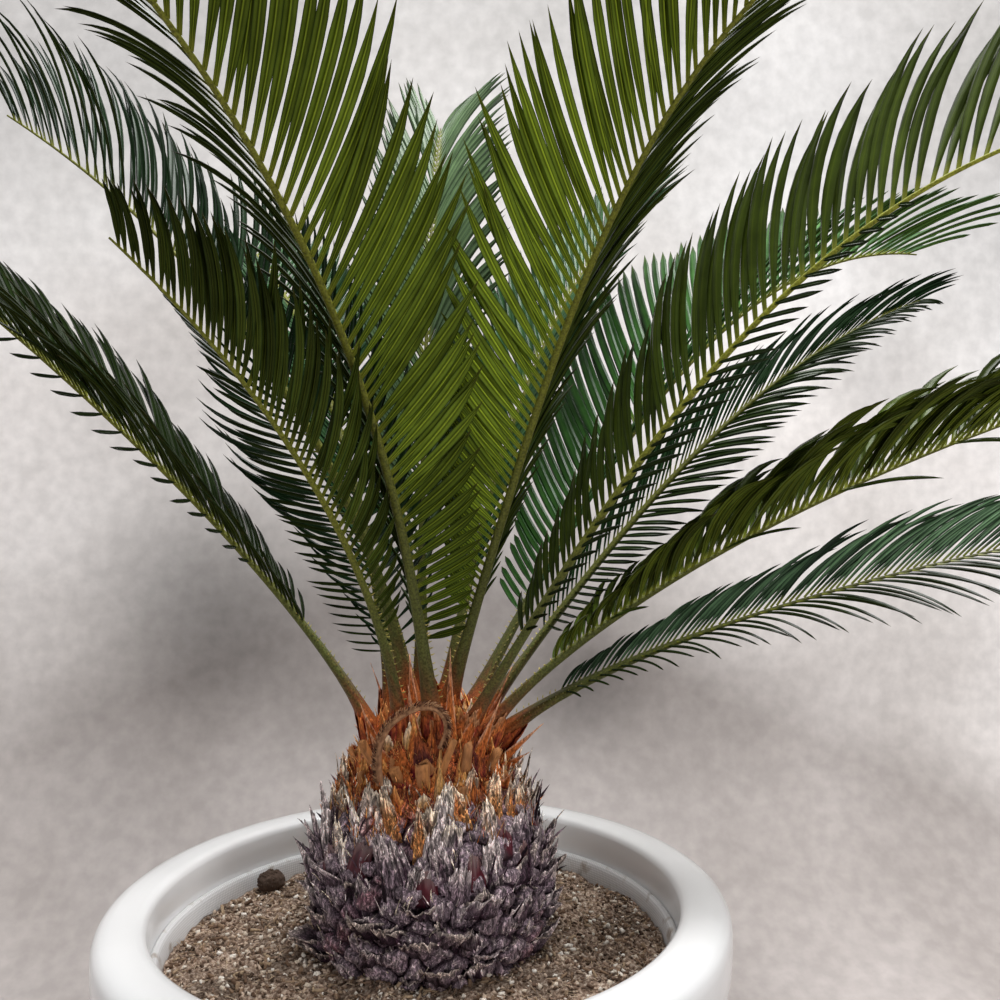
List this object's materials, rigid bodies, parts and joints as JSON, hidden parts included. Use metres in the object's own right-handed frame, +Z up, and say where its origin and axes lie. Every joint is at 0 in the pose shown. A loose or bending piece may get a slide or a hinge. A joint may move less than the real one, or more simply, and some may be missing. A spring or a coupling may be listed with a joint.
{
  "type": "potted sago palm",
  "caption": "Sago palm with an armoured trunk and arching comb-like fronds, growing in soil in a round glossy planter with a broad rim and an inner liner.",
  "frame": {"origin": "centre of the planter's flat underside, on the surface it stands on", "axes": "+Z up; -Y is the front, towards the widest gap between the fronds; +X is the side of the longest, lowest fronds"},
  "size_m": [0.9076, 0.566, 0.8473],
  "materials": {
    "glossy_white": "gloss",
    "liner_grey": "matte",
    "potting_soil": "matte",
    "armoured_bark": "matte",
    "leaf_green": "satin",
    "rust_scale_leaf": "matte",
    "cut_stub_straw": "matte"
  },
  "bodies": {
    "root": {"cut_stub_1": "cut_stub_straw", "cut_stub_2": "cut_stub_straw", "cut_stub_3": "cut_stub_straw", "cut_stub_4": "cut_stub_straw", "cut_stub_5": "cut_stub_straw", "cut_stub_6": "cut_stub_straw", "cut_stub_7": "cut_stub_straw", "cut_stub_8": "cut_stub_straw", "frond_back_centre": "leaf_green", "frond_back_left": "leaf_green", "frond_back_right": "leaf_green", "frond_back_upright": "leaf_green", "frond_front_left": "leaf_green", "frond_front_left_tall": "leaf_green", "frond_front_right_tall": "leaf_green", "frond_left_high": "leaf_green", "frond_left_low": "leaf_green", "frond_right_inner": "leaf_green", "frond_right_low": "leaf_green", "frond_right_middle": "leaf_green", "frond_right_tall": "leaf_green", "liner": "liner_grey", "planter": "glossy_white", "scale_leaf_1": "rust_scale_leaf", "scale_leaf_2": "rust_scale_leaf", "scale_leaf_3": "rust_scale_leaf", "scale_leaf_4": "rust_scale_leaf", "scale_leaf_5": "rust_scale_leaf", "scale_leaf_6": "rust_scale_leaf", "soil": "potting_soil", "soil_clod": "potting_soil", "trunk": "armoured_bark", "withered_frond": "cut_stub_straw"}
  },
  "joints": []
}
